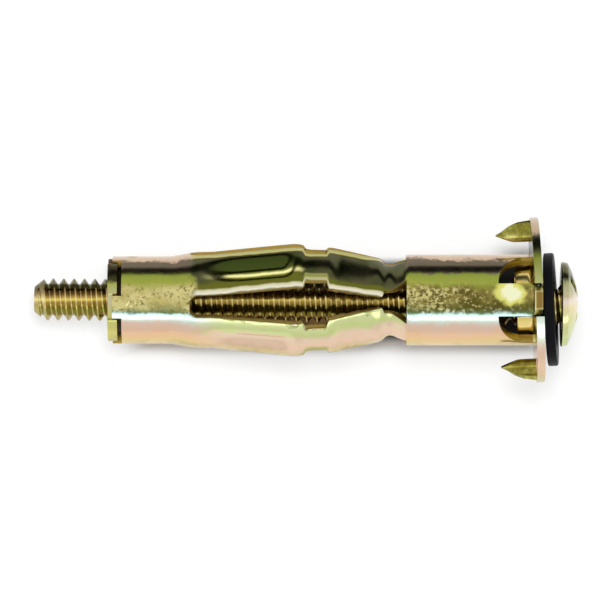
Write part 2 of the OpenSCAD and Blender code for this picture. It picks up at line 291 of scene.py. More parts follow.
def within_seam(points):
    return [(d, min(max(s, -SEAM), SEAM)) for d, s in points]


def blank_outline():
    # One edge of the seam, with half of a slot in it
    half = [(d, 180 * PER_DEG + s) for d, s in slot_edge(-1)]
    up = [(half[0][0], SEAM)] + half + [(half[-1][0], SEAM)]
    down = [(d, -s) for d, s in reversed(up)]
    return within_seam(front_edge()) + up + far_edge() + down


def slot_outline(middle):
    offset = middle * PER_DEG
    forth = [(d, offset + s) for d, s in slot_edge(1)]
    back = [(d, offset + s) for d, s in reversed(slot_edge(-1))]
    return forth + back


outline = blank_outline()
print("the blank's outline has", len(outline), "corners")

# %% Filling an outline with triangles
def inside(point, loop):
    x, y = point
    hit = False
    x0, y0 = loop[-1]
    for x1, y1 in loop:
        if (y0 > y) != (y1 > y) and x < (x1 - x0) * (y - y0) / (y1 - y0) + x0:
            hit = not hit
        x0, y0 = x1, y1
    return hit


ROW_HEIGHT = 0.87  # of a triangle whose side is 1
APART = 0.6  # how near the rim a point of the grid may lie, in steps


def fill(outer, holes, step=FINE):
    """Small triangles that fill the outline and leave its holes open."""
    loops = [finely(outer)] + [finely(h) for h in holes]
    points, edges = [], []
    for loop in loops:
        first = len(points)
        points += loop
        edges += [(first + i, first + (i + 1) % len(loop)) for i in range(len(loop))]
    rim = {}
    for x, y in points:
        rim.setdefault((round(x / step), round(y / step)), []).append((x, y))
    xs = [p[0] for p in loops[0]]
    ys = [p[1] for p in loops[0]]
    grid = []
    row = 0
    y = min(ys)
    while y < max(ys):
        x = min(xs) + (step / 2 if row % 2 else 0)
        while x < max(xs):
            near = (q for i in (-1, 0, 1) for j in (-1, 0, 1)
                    for q in rim.get((round(x / step) + i, round(y / step) + j), []))
            if all((x - a) ** 2 + (y - b) ** 2 > (APART * step) ** 2 for a, b in near):
                grid.append((x, y))
            x += step
        row += 1
        y += step * ROW_HEIGHT
    flat, _, faces, *_ = delaunay_2d_cdt([Vector(p) for p in points + grid], edges, [], 0, 1e-6)
    kept = []
    for face in faces:
        middle = sum((flat[i] for i in face), Vector((0, 0))) / len(face)
        if inside(middle, loops[0]) and not any(inside(middle, h) for h in loops[1:]):
            kept.append(list(face))
    used = sorted({i for f in kept for i in f})
    number = {old: new for new, old in enumerate(used)}
    return [tuple(flat[i]) for i in used], [[number[i] for i in f] for f in kept]


blank_points, blank_faces = fill(outline, [slot_outline(a) for a in (-90, 0, 90)])
print("the blank has", len(blank_faces), "triangles")

# %% [markdown]
# ## Forming the blank
# Each leg carries a pressed channel: a round bar sinks into it, deepest along
# the leg's middle. The straps in front and behind end in short tabs that bend
# outwards in the gap between the wings.

# %% Where a point of the blank ends up
def between(x, lo, hi, ease, ease_out=None):
    """1 between lo and hi, and 0 outside, with a smooth way up and down."""
    up = min(max((x - lo) / ease, 0), 1)
    down = min(max((hi - x) / (ease_out or ease), 0), 1)
    t = min(up, down)
    return t * t * (3 - 2 * t)


# The channel of a long leg, the flat of a short one and the punch marks: how deep
# each is and how far it reaches from its middle
CHANNEL, CHANNEL_W = 0.5, 1.6
FLAT, FLAT_W = 0.3, 2.15
PUNCH, PUNCH_R, PUNCH_IN = 0.35, 0.5, 0.9


def channel_depth(depth, off_middle, radius):
    """How far the press sinks the sheet, across and along a leg."""
    across = radius * math.radians(abs(off_middle))
    long_leg = between(depth, CREST + 0.2, ROOT + 0.4, 1.3, 4.5)
    short_leg = between(depth, NECK_END + 0.2, FOLD_START + 0.1, 1.2)
    channel = CHANNEL * long_leg * math.cos(math.pi / 2 * min(1, across / CHANNEL_W)) ** 2
    return channel + FLAT * short_leg * max(0, 1 - (across / FLAT_W) ** 2)


def dimple(depth, around):
    """The four punch marks in the collar that hold the nut."""
    off = (around + 45) % 90 - 45
    q = math.hypot(depth - SLEEVE_LEN + PUNCH_IN, COLLAR_R * math.radians(off)) / PUNCH_R
    return PUNCH * max(0, 1 - q * q) ** 1.5


def formed(point):
    depth, across = point
    around = across / PER_DEG
    angle = math.radians(around + roll(depth))
    off_middle = (around % 90) - 45
    radius = bent(max(depth, 0), SHEET_LINE)
    radius -= channel_depth(depth, off_middle, radius) + dimple(depth, around)
    turned = math.degrees(angle)
    nearest = round(turned / 180) * 180
    if depth < BEND_R and abs(turned - nearest) < STRAP + 1:
        run = BEND_R - depth
        sweep = min(run / BEND_R, math.pi / 2)
        x = -BEND_R + BEND_R * math.sin(sweep)
        rise = BEND_R * (1 - math.cos(sweep)) + max(0, run - BEND_R * math.pi / 2)
        side = 1 if math.cos(angle) > 0 else -1
        return (x, -TUBE_R * math.sin(angle), TUBE_R * math.cos(angle) + side * rise)
    return (-depth, -radius * math.sin(angle), radius * math.cos(angle))


def mark_sides(piece):
    """Stores which side of the sheet a face is on: 0 outside, 0.5 cut edge, 1 inside."""
    mesh = piece.data
    sides = mesh.attributes.new("sheet_side", "FLOAT", "FACE")
    for face, side in zip(mesh.polygons, sides.data):
        side.value = (0.0, 1.0, 0.5)[face.material_index]
        face.material_index = 0


def sheet_piece(name, points, faces, place=None, thickness=SHEET, rounding=0.07):
    piece = new_piece(name, points, faces, place)
    for _ in range(3):
        piece.data.materials.append(None)
    add_modifier(piece, "SOLIDIFY", thickness=thickness * MM, offset=-1,
                 material_offset=1, material_offset_rim=2)
    add_modifier(piece, "BEVEL", width=rounding * MM, segments=2, limit_method="ANGLE",
                 angle_limit=math.radians(50))
    apply_modifiers(piece)
    mark_sides(piece)
    return smooth(piece)


sleeve = sheet_piece("sleeve_sheet", [formed(p) for p in blank_points], blank_faces)
print("the rolled sheet has", count(sleeve), "triangles")

# %% [markdown]
# ## The wings of the flange
# Two half discs meet the wall. At their middle the sheet turns in through a
# round bend and ends as a short lip round the screw, which can be seen through
# the windows. A wing is filled in a flat plane too: the distance along the
# bent profile on one side, and the angle on the other.

# %% The wings
MOUTH = LIP_R + SHEET
FLAT_LIP = LIP_LEN - FILLET
TURN = FILLET * math.pi / 2
WING_RUN = FLAT_LIP + TURN + FLANGE_R - MOUTH - FILLET


def wing_line(run):
    """Depth and radius of the wing's wall side, from the lip's end outwards."""
    if run < FLAT_LIP:
        return (-LIP_LEN + run, MOUTH)
    if run < FLAT_LIP + TURN:
        sweep = (run - FLAT_LIP) / FILLET
        return (-FILLET + FILLET * math.sin(sweep), MOUTH + FILLET * (1 - math.cos(sweep)))
    return (0, MOUTH + FILLET + run - FLAT_LIP - TURN)


def wing_reach(run):
    """The angle from the wing's middle at which the gap between the wings cuts it."""
    return math.degrees(math.acos(WING_GAP / 2 / wing_line(run)[1]))


WING_DEG = 5.0 * math.pi / 180
PRONG_W, PRONG_LEN, PRONG_R = 2.1, 3.0, 1.3
PRONG_ROOT = FLANGE_R - 0.1 - PRONG_W / 2
PRONG_TIP = -0.17 * PRONG_W
PRONG_RISE = 0.35


def wing_outline():
    runs = [WING_RUN * i / 60 for i in range(61)]
    up = [(r, wing_reach(r) * WING_DEG) for r in runs]
    down = [(r, -wing_reach(r) * WING_DEG) for r in reversed(runs)]
    return up + down


def prong_hole():
    """The opening that the prong was cut from, in the wing's flat plane."""
    fall = -PRONG_R - 0.1
    inner = PRONG_ROOT - PRONG_W / 2
    corners = [(inner, fall), (inner, fall - PRONG_LEN * 0.4),
               (PRONG_ROOT + PRONG_TIP, fall - PRONG_LEN * 0.8),
               (PRONG_ROOT + PRONG_W * 0.35, fall)]
    flat = []
    for y, z in finely(corners):
        run = math.hypot(y, z) - MOUTH - FILLET + FLAT_LIP + TURN
        flat.append((run, -math.degrees(math.atan2(z, y)) * WING_DEG))
    return flat


wing_points, wing_faces = fill(wing_outline(), [prong_hole()])


def wing_formed(point, half):
    depth, radius = wing_line(point[0])
    angle = math.radians(point[1] / WING_DEG)
    return (depth, half * radius * math.cos(angle), -half * radius * math.sin(angle))


LEAN = Matrix.Rotation(math.radians(FLANGE_LEAN), 4, "Z")
wings = [
    sheet_piece(name, [wing_formed(p, half) for p in wing_points], wing_faces,
                LEAN, rounding=0.16)
    for name, half in (("wing_upper", 1), ("wing_lower", -1))
]
print("each wing has", count(wings[0]), "triangles")

# %% [markdown]
# ## The prongs
# A prong is a leaf of the same sheet, bent square to its wing and curled into a
# gutter so that it stays stiff when it is driven into the wall.

# %% The prongs
# Share of the prong's length, and of its width, along its inner and outer edges
PRONG_INNER = [(0, -0.5), (0.42, -0.5), (0.54, -0.47), (0.97, -0.2), (1, -0.18)]
PRONG_OUTER = [(0, 0.5), (0.36, 0.4), (0.62, 0.23), (0.96, -0.12), (1, -0.16)]


def prong_points(half, rows=40, columns=16):
    points, faces = [], []
    for i in range(rows + 1):
        x = SHEET / 2 - (PRONG_LEN + SHEET / 2) * i / rows
        s = max(0, -x / PRONG_LEN)
        low = lookup(s, PRONG_INNER) * PRONG_W
        high = lookup(s, PRONG_OUTER) * PRONG_W
        for j in range(columns + 1):
            w = low + (high - low) * j / columns
            curl = w / PRONG_R
            y = PRONG_ROOT + PRONG_R * math.sin(curl)
            z = PRONG_RISE - PRONG_R * (1 - math.cos(curl))
            points.append((x, half * y, half * z))
    for i in range(rows):
        for j in range(columns):
            a = i * (columns + 1) + j
            faces.append((a, a + 1, a + columns + 2, a + columns + 1))
    return points, faces


prongs = [
    sheet_piece(name, *prong_points(half), place=LEAN, thickness=0.5, rounding=0.06)
    for name, half in (("prong_upper", 1), ("prong_lower", -1))
]
print("each prong has", count(prongs[0]), "triangles")

# %% [markdown]
# ## Shader and geometry maths
# A small class stands for one output of a node. Adding or multiplying two of
# them adds the Math node that does it, so a formula reads as it would on paper.
# Shaders and Geometry Nodes share the Math node, so the class serves both.

# %% A class for node formulas
class Value:
    def __init__(self, graph, socket):
        self.graph, self.socket = graph, socket

    def _math(self, operation, *values):
        return self.graph.add("ShaderNodeMath", {"operation": operation}, *values)

    def __add__(self, other):
        return self._math("ADD", self, other)

    def __radd__(self, other):
        return self._math("ADD", other, self)

    def __sub__(self, other):
        return self._math("SUBTRACT", self, other)

    def __rsub__(self, other):
        return self._math("SUBTRACT", other, self)

    def __mul__(self, other):
        return self._math("MULTIPLY", self, other)

    def __rmul__(self, other):
        return self._math("MULTIPLY", other, self)

    def __truediv__(self, other):
        return self._math("DIVIDE", self, other)

    def __pow__(self, other):
        return self._math("POWER", self, other)

    def __mod__(self, other):
        return self._math("FLOORED_MODULO", self, other)

    def least(self, other):
        return self._math("MINIMUM", self, other)

    def most(self, other):
        return self._math("MAXIMUM", self, other)

    def size(self):
        return self._math("ABSOLUTE", self)

    def sin(self):
        return self._math("SINE", self)

    def cos(self):
        return self._math("COSINE", self)

    def arcsine(self):
        return self._math("ARCSINE", self)

    def step_up(self, low, high):
        """0 below low, 1 above high, smooth between."""
        return self.graph.add("ShaderNodeMapRange", {"interpolation_type": "SMOOTHSTEP"},
                              **{"Value": self, "From Min": low, "From Max": high})

    def step_down(self, low, high):
        """1 below low, 0 above high, smooth between."""
        return 1 - self.step_up(low, high)


def set_stops(ramp, stops):
    while len(ramp.elements) > 1:
        ramp.elements.remove(ramp.elements[-1])
    for i, (place, colour) in enumerate(stops):
        stop = ramp.elements[0] if i == 0 else ramp.elements.new(place)
        stop.position = place
        stop.color = (*colour, 1)


class Graph:
    """A node tree, and the one way in which this script adds nodes to it."""

    def __init__(self, tree):
        self.tree = tree

    def add(self, kind, settings=None, *values, out=0, **named):
        node = self.tree.nodes.new(kind)
        for key, value in (settings or {}).items():
            if key == "stops":
                set_stops(node.color_ramp, value)
            else:
                setattr(node, key, value)
        for index, value in enumerate(values):
            self.feed(node.inputs[index], value)
        for name, value in named.items():
            self.feed(node.inputs[name], value)
        return Value(self, node.outputs[out]) if node.outputs else None

    def feed(self, socket, value):
        if isinstance(value, Value):
            self.tree.links.new(value.socket, socket)
        else:
            socket.default_value = value

    def mix(self, factor, first, second):
        """Colours go through Mix, because a Math node would turn them grey."""
        mixed = self.add("ShaderNodeMix", {"data_type": "RGBA"}, factor, out=2)
        for place, colour in ((6, first), (7, second)):
            value = colour if isinstance(colour, Value) else (*colour, 1)
            self.feed(mixed.socket.node.inputs[place], value)
        return mixed

    def outputs(self, kind, *values):
        """A new node's outputs by their names."""
        node = self.add(kind, None, *values).socket.node
        return {socket.name: Value(self, socket) for socket in node.outputs if socket.name}

    def parts(self, vector):
        return self.outputs("ShaderNodeSeparateXYZ", vector).values()


def empty_graph(owner):
    """The node tree of a material or of the world, with nothing in it."""
    owner.use_nodes = True
    owner.node_tree.nodes.clear()
    return Graph(owner.node_tree)


print("node formulas are ready")

# %% [markdown]
# ## The screw's thread
# A thread follows one rule all the way along, so Geometry Nodes make it. A flat
# grid is wound round the axis with each row one step further along than the
# last, like thread on a bobbin. Its crests then run along whole rows of the
# grid and stay crisp. The rows that would pass the ends are squeezed flat
# against them, and the tip is held under a cone.

# %% A thread that Geometry Nodes wind
def thread_tree():
    tree = bpy.data.node_groups.new("wound_thread", "GeometryNodeTree")
    for kind, names in (
        ("Geometry", ("Geometry",)),
        ("Float", ("Pitch", "Start", "Length", "Crest radius", "Crest land", "Root radius",
                   "Tip radius", "Tip length")),
        ("Int", ("Rows per turn", "Columns")),
        ("Material", ("Finish",)),
    ):
        for name in names:
            tree.interface.new_socket(name=name, in_out="INPUT", socket_type="NodeSocket" + kind)
    tree.interface.new_socket(name="Geometry", in_out="OUTPUT", socket_type="NodeSocketGeometry")
    g = Graph(tree)
    size = g.outputs("NodeGroupInput")
    pitch, length = size["Pitch"], size["Length"]
    rows, columns = size["Rows per turn"], size["Columns"]
    count_rows = g.add("ShaderNodeMath", {"operation": "CEIL"}, (length / pitch + 3) * rows)
    grid = g.add("GeometryNodeMeshGrid", None, 1.0, 1.0, count_rows + 1, columns + 1)
    index = g.add("GeometryNodeInputIndex")
    row = g.add("ShaderNodeMath", {"operation": "FLOOR"}, (index + 0.5) / (columns + 1))
    column = index - row * (columns + 1)
    turn = column / columns
    along = (row / rows + turn - 2) * pitch + size["Start"]
    wave = (row / rows) % 1.0
    ridge = 1 - (wave * 2 - 1).size()
    land = size["Crest land"] / pitch
    form = ((ridge - land) / (1 - land * 2)).most(0.0).least(1.0)
    radius = size["Root radius"] + (size["Crest radius"] - size["Root radius"]) * form
    held = along.most(0.0).least(length)
    widening = size["Crest radius"] - size["Tip radius"]
    cone = size["Tip radius"] + widening * (held / size["Tip length"])
    past = (0 - along).most(along - length).most(0.0)
    closing = pitch * 0.3
    radius = radius.least(cone) * (1 - past / closing).most(0.0)
    angle = turn * (2 * math.pi)
    place = g.add("ShaderNodeCombineXYZ", None, held, 0 - radius * angle.sin(),
                  radius * angle.cos())
    wound = g.add("GeometryNodeSetPosition", None, Geometry=grid, Position=place)
    closed = g.add("GeometryNodeMergeByDistance", None, Geometry=wound, Distance=0.000002)
    real = g.add("GeometryNodeRealizeInstances", None, closed)
    dressed = g.add("GeometryNodeSetMaterial", None, Geometry=real, Material=size["Finish"])
    g.add("NodeGroupOutput", None, dressed)
    return tree


def grown(tree, name, sizes, place):
    """Runs a Geometry Nodes tree once and keeps its result as a plain mesh."""
    piece = bpy.data.objects.new(name, bpy.data.meshes.new(name + "_start"))
    bpy.context.scene.collection.objects.link(piece)
    modifier = piece.modifiers.new("Grow", "NODES")
    modifier.node_group = tree
    for item in tree.interface.items_tree:
        if item.in_out == "INPUT" and item.name in sizes:
            modifier[item.identifier] = sizes[item.name]
    apply_modifiers(piece)
    piece.data.name = name
    piece.data.transform(LAY @ place)
    return piece


steel = bpy.data.materials.new("bare_steel")
TIP_X = BEARING - SCREW_LEN
shank = grown(
    thread_tree(), "screw_thread",
    {"Pitch": PITCH * MM, "Start": THREAD_FROM * MM, "Length": (SCREW_LEN + 0.1) * MM,
     "Crest radius": THREAD_R * MM, "Crest land": CREST_LAND * MM, "Root radius": CORE_R * MM,
     "Tip radius": TIP_R * MM, "Tip length": TIP_LEN * MM,
     "Rows per turn": 16, "Columns": 40, "Finish": steel},
    ON_SCREW @ Matrix.Translation((TIP_X * MM, 0, 0)),
)
smooth(shank, 50)
print("the thread has", count(shank), "triangles and", round(SCREW_LEN / PITCH), "turns")

# %% [markdown]
# ## Turned shapes
# The head, the washer and the tip's end are round, so each is a line spun about
# the axis. The line is drawn from the axis outwards and back, and the first and
# last points on the axis become single points, so that the shape is closed.

# %% Turning a line about the axis
def turned(name, line, place=None, columns=128):
    """line holds (x, radius) from one end of the solid to the other."""
    points, rings = [], []
    for x, radius in line:
        if radius < 1e-6:
            rings.append([len(points)])
            points.append((x, 0, 0))
        else:
            rings.append(range(len(points), len(points) + columns))
            for i in range(columns):
                a = 2 * math.pi * i / columns
                points.append((x, radius * math.cos(a), radius * math.sin(a)))
    faces = []
    loop = rings + ([rings[0]] if line[0][1] > 1e-6 else [])
    for a, b in zip(loop, loop[1:]):
        for i in range(columns):
            j = (i + 1) % columns
            if len(a) == 1:
                faces.append((a[0], b[j], b[i]))
            elif len(b) == 1:
                faces.append((a[i], a[j], b[0]))
            else:
                faces.append((a[i], a[j], b[j], b[i]))
    return new_piece(name, points, faces, place)


def arc(x, radius, size, start, end, steps):
    """Points of a quarter round in a turned line, angles in degrees from +X."""
    return [
        (x + size * math.cos(math.radians(start + (end - start) * i / steps)),
         radius + size * math.sin(math.radians(start + (end - start) * i / steps)))
        for i in range(steps + 1)
    ]


def cut_box(name, low, high, place):
    corners = [(x, y, z) for x in (low[0], high[0]) for y in (low[1], high[1])
               for z in (low[2], high[2])]
    faces = [(0, 1, 3, 2), (4, 6, 7, 5), (0, 4, 5, 1), (2, 3, 7, 6), (0, 2, 6, 4), (1, 5, 7, 3)]
    return new_piece(name, corners, faces, place)


print("turned shapes are ready")

# %% [markdown]
# ## The screw's head
# A pan head is cold-headed, so its rim is round and its top is a low dome. The
# recess takes a flat blade or a cross: both are cut out by a boolean, and a
# bevel then rounds every edge that the cut left.

# %% The head
TOP = BEARING + HEAD_H
CAP = HEAD_H - HEAD_RIM
CAP_R = (HEAD_R ** 2 + CAP ** 2) / (2 * CAP)
dome = [
    (TOP - CAP_R + CAP_R * math.cos(a), CAP_R * math.sin(a))
    for a in (math.asin((HEAD_R - 0.1) / CAP_R) * (1 - i / 24) for i in range(25))
]
dome[-1] = (TOP, 0)
EDGE = 0.12
corner = arc(BEARING + EDGE, HEAD_R - EDGE, EDGE, 180, 90, 4)
head_line = [(BEARING, 0), (BEARING, HEAD_R - EDGE)] + corner + dome
head = turned("screw_head", head_line, ON_SCREW)
DRIVE = ON_SCREW @ Matrix.Rotation(math.radians(DRIVE_TURN), 4, "X")
side, arm = SLOT_W / 2, CROSS_LEN / 2
ACROSS, ABOVE = 5, TOP + 1
# The three cutters differ by a hair, so that no two of their faces coincide
HAIR = 0.001
cutters = [
    cut_box("cut_slot", (TOP - SLOT_DEPTH, -side, -ACROSS), (ABOVE, side, ACROSS), DRIVE),
    cut_box("cut_cross_a", (TOP - CROSS_DEPTH, -arm, -side + HAIR),
            (ABOVE, arm, side - HAIR), DRIVE),
    cut_box("cut_cross_b", (TOP - CROSS_DEPTH - 10 * HAIR, -side - HAIR, -arm),
            (ABOVE, side + HAIR, arm), DRIVE),
]
for cutter in cutters:
    add_modifier(head, "BOOLEAN", operation="DIFFERENCE", object=cutter, solver="EXACT")
add_modifier(head, "BEVEL", width=0.05 * MM, segments=2, limit_method="ANGLE",
             angle_limit=math.radians(40))
apply_modifiers(head)
for cutter in cutters:
    bpy.data.objects.remove(cutter)
smooth(head, 30)
print("the head has", count(head), "triangles")

# %% [markdown]
# ## The rubber washer
# A moulded rubber ring, rounded at its rim, that leans on the flange's lower
# side. It is turned like the head and then tilted in its place.

# %% The washer
HOLE_PLAY = 0.53
HOLE_R = THREAD_R + HOLE_PLAY
TILT = math.asin((WASHER_PLAY - 2 * WASHER_CLEAR) / (2 * WASHER_R))
washer_at = (SHEET + (WASHER_T + WASHER_PLAY) / 2, -(DROP + HOLE_PLAY - WASHER_CLEAR), 0)
half = WASHER_T / 2
HOLE_ROUND, RIM_ROUND = 0.12, 0.16
washer_line = (
    arc(half - HOLE_ROUND, HOLE_R + HOLE_ROUND, HOLE_ROUND, -90, 0, 4)[::-1]
    + arc(-half + HOLE_ROUND, HOLE_R + HOLE_ROUND, HOLE_ROUND, 270, 180, 4)
    + arc(-half + RIM_ROUND, WASHER_R - RIM_ROUND, RIM_ROUND, 180, 90, 6)
    + arc(half - RIM_ROUND, WASHER_R - RIM_ROUND, RIM_ROUND, 90, 0, 6)
)
WASHER_PLACE = (
    Matrix.Translation(Vector(washer_at) * MM)
    @ Matrix.Rotation(math.radians(FLANGE_LEAN), 4, "Z")
    @ Matrix.Rotation(-TILT, 4, "Y")
)
washer = smooth(turned("washer_ring", washer_line, WASHER_PLACE), 60)
print("the washer has", count(washer), "triangles")

# %% [markdown]
# ## The nut
# A pressed plate covers the sleeve's far end, with a threaded barrel inside the
# collar. Four notches in its rim take the sleeve's keys, so the two turn as one.

# %% The nut
NUT_R, NUT_BARREL, NUT_CLEAR = 3.62, 3.0, 0.12
BORE_R = THREAD_R + 0.05
NOTCH = COLLAR_R - SHEET - NUT_CLEAR


def nut_outline():
    edge = []
    half = KEY_W / 2 + NUT_CLEAR
    reach = math.degrees(math.asin(half / NUT_R))
    for turn in (0, 90, 180, 270):
        c, s = math.cos(math.radians(turn)), math.sin(math.radians(turn))
        edge += [(c * NOTCH - s * v, s * NOTCH + c * v) for v in (-half, half)]
        span = 90 - 2 * reach
        edge += [
            (NUT_R * math.cos(math.radians(turn + reach + span * i / 16)),
             NUT_R * math.sin(math.radians(turn + reach + span * i / 16)))
            for i in range(17)
        ]
    return edge


circle = [(BORE_R * math.cos(math.pi * i / 24), BORE_R * math.sin(math.pi * i / 24))
          for i in range(48)]
plate_points, plate_faces = fill(nut_outline(), [circle], 0.3)
KEYED = Matrix.Rotation(math.radians(roll(SLEEVE_LEN)), 4, "X")
nut = sheet_piece("nut_plate", [(-NUT_AT, -v, u) for u, v in plate_points], plate_faces,
                  KEYED, thickness=NUT_PLATE, rounding=0.14)
BARREL_END, IN_PLATE, CHAMFER = -NUT_AT + NUT_BARREL, -NUT_AT - 0.3, 0.2
barrel = turned("nut_barrel", [
    (IN_PLATE, BORE_R), (BARREL_END - CHAMFER, BORE_R), (BARREL_END, BORE_R + CHAMFER),
    (BARREL_END, NOTCH - CHAMFER), (BARREL_END - CHAMFER, NOTCH), (IN_PLATE, NOTCH),
], columns=64)
smooth(barrel, 30)
print("the nut has", count(nut) + count(barrel), "triangles")

# %% [markdown]
# ## Yellow zinc
# Zinc plating is a bright metal. The chromate film over it is so thin that light
# reflected from its two faces interferes, and small changes in its thickness
# turn it from straw yellow to green, pink and peach. One number stands for the
# film's thickness and for the way the surface faces: it drifts round the tube and
# in patches, and a colour ramp turns it into colour. So the ramps hold the film's
# colours and also painted reflections: dark bands where the metal would mirror
# something dark, and pale bands that are painted highlights. Sheared edges have
# a colour of their own, the inside is painted shade, the pressed panels are
# painted dark reflections, and the band of the tube that faces up and down is
# speckled pale and dark.

# %% The film's colours and painted reflections
# From the +Y edge, 0, round to the -Y edge, 1. On the tube the dark band from 0.076
# to 0.18 is a painted dark reflection, which the dark card deepens, and the pale
# cyan band from 0.655 to 0.735 is a painted highlight under the strip lamp's own.
SHEET_FILM_AND_REFLECTIONS = [
    (0.00, (0.66, 0.50, 0.30)), (0.052, (0.62, 0.44, 0.31)), (0.076, (0.14, 0.11, 0.07)),
    (0.18, (0.19, 0.15, 0.10)), (0.21, (0.30, 0.36, 0.06)), (0.32, (0.38, 0.41, 0.07)),
    (0.40, (0.42, 0.33, 0.10)), (0.47, (0.56, 0.46, 0.13)), (0.54, (0.19, 0.19, 0.04)),
    (0.625, (0.12, 0.19, 0.09)), (0.655, (0.46, 0.64, 0.60)), (0.700, (0.66, 0.80, 0.76)),
    (0.735, (0.66, 0.68, 0.56)), (0.77, (0.74, 0.55, 0.44)), (0.88, (0.80, 0.52, 0.32)),
    (0.95, (0.74, 0.55, 0.24)), (1.00, (0.50, 0.38, 0.14)),
]
# Across the upper leg in the first half, and across the lower one in the second.
# The pale stops near 0.06, 0.31 and 0.46 are painted highlights on the top strip,
# the channel's ridge and the strip by the slot, and the dark stops between them
# are painted dark reflections.
LEG_FILM_AND_REFLECTIONS = [
    (0.010, (0.32, 0.30, 0.08)), (0.062, (0.54, 0.50, 0.17)), (0.084, (0.05, 0.045, 0.010)),
    (0.150, (0.050, 0.068, 0.014)), (0.262, (0.064, 0.086, 0.017)), (0.284, (0.30, 0.31, 0.05)),
    (0.302, (1.00, 0.94, 0.44)), (0.322, (0.90, 0.86, 0.34)), (0.346, (0.15, 0.16, 0.02)),
    (0.433, (0.15, 0.15, 0.020)), (0.450, (0.74, 0.70, 0.44)), (0.478, (0.92, 0.88, 0.72)),
    (0.492, (0.30, 0.27, 0.10)), (0.508, (0.40, 0.44, 0.16)), (0.530, (0.66, 0.72, 0.36)),
    (0.640, (0.60, 0.66, 0.27)), (0.690, (0.76, 0.60, 0.42)), (0.830, (0.78, 0.55, 0.40)),
    (0.930, (0.60, 0.48, 0.22)), (0.990, (0.30, 0.26, 0.10)),
]
# The flange, head, nut and thread ramps paint reflections the same way: their dark stops are
# painted dark reflections and their palest stops painted highlights. The prong's ramp follows only
# the patches.
FLANGE_FILM_AND_REFLECTIONS = [
    (0.00, (0.60, 0.44, 0.32)), (0.08, (0.52, 0.40, 0.26)), (0.12, (0.06, 0.06, 0.03)),
    (0.20, (0.09, 0.10, 0.03)), (0.24, (0.24, 0.28, 0.04)), (0.40, (0.48, 0.50, 0.20)),
    (0.60, (0.72, 0.84, 0.74)), (0.74, (0.76, 0.84, 0.70)), (0.80, (0.78, 0.56, 0.42)),
    (0.93, (0.76, 0.54, 0.36)), (1.00, (0.44, 0.44, 0.14)),
]
PRONG_FILM = [
    (0.30, (0.13, 0.09, 0.02)), (0.42, (0.22, 0.18, 0.03)), (0.50, (0.30, 0.28, 0.05)),
    (0.58, (0.46, 0.42, 0.11)), (0.70, (0.72, 0.70, 0.30)),
]
HEAD_FILM_AND_REFLECTIONS = [
    (0.00, (0.46, 0.44, 0.24)), (0.10, (0.16, 0.17, 0.08)), (0.20, (0.12, 0.13, 0.06)),
    (0.30, (0.44, 0.44, 0.22)), (0.42, (0.58, 0.52, 0.32)), (0.50, (0.86, 0.74, 0.62)),
    (0.58, (0.82, 0.72, 0.42)), (0.75, (0.68, 0.68, 0.32)), (0.90, (0.62, 0.68, 0.32)),
    (1.00, (0.42, 0.48, 0.20)),
]
NUT_FILM_AND_REFLECTIONS = [
    (0.00, (0.50, 0.44, 0.22)), (0.06, (0.16, 0.12, 0.06)), (0.10, (0.05, 0.042, 0.02)),
    (0.28, (0.06, 0.055, 0.02)), (0.33, (0.44, 0.46, 0.12)), (0.50, (0.60, 0.54, 0.34)),
    (0.70, (0.56, 0.56, 0.17)), (0.90, (0.66, 0.60, 0.20)), (1.00, (0.40, 0.34, 0.10)),
]
THREAD_FILM_AND_REFLECTIONS = [
    (0.00, (0.10, 0.11, 0.03)), (0.15, (0.17, 0.13, 0.05)), (0.30, (0.34, 0.24, 0.10)),
    (0.40, (0.70, 0.56, 0.26)), (0.47, (0.95, 0.84, 0.36)), (0.55, (0.62, 0.50, 0.22)),
    (0.66, (0.42, 0.34, 0.11)), (0.82, (0.44, 0.42, 0.13)), (1.00, (0.36, 0.25, 0.08)),
]
# The nut's barrel is painted near black: painted shade for the narrow gap between the sleeve's end
# and the nut plate, where it shows.
BARREL_SHADE = [(0.0, (0.02, 0.016, 0.01)), (1.0, (0.04, 0.03, 0.014))]
# The first colour is painted shade on the inside of the sheet, and the second is the sheared
# edges' own colour.
INSIDE_SHADE, CUT_EDGE = (0.32, 0.20, 0.08), (0.45, 0.31, 0.07)
# Dark olive for the upper short leg and the upper legs' roots: a patchy painted dark reflection.
PANEL_DARK_REFLECTION, PANEL_PALER_REFLECTION = (0.060, 0.068, 0.024), (0.11, 0.105, 0.05)
SPECK_DARK, SPECK_PALE = (0.11, 0.09, 0.015), (0.74, 0.66, 0.28)
# A painted highlight on the front strap: its bright middle and its yellow rim.
PAINTED_HIGHLIGHT, PAINTED_HIGHLIGHT_RIM = (1.0, 1.0, 0.66), (0.80, 0.78, 0.20)
TAB_FACE, TAB_RIM = (0.30, 0.19, 0.05), (0.84, 0.76, 0.34)
# The lip's gold, and a paler gold that paints the light falling in through the windows.
LIP_GOLD, LIP_WINDOW_LIGHT = (0.62, 0.44, 0.10), (0.86, 0.70, 0.26)
# The second colour is painted shade for the head's recess.
FOLD_EDGE, RECESS_SHADE = (0.40, 0.40, 0.12), (0.10, 0.085, 0.03)
print("the film has", len(SHEET_FILM_AND_REFLECTIONS), "colours on the tube and", len(LEG_FILM_AND_REFLECTIONS), "on the legs")
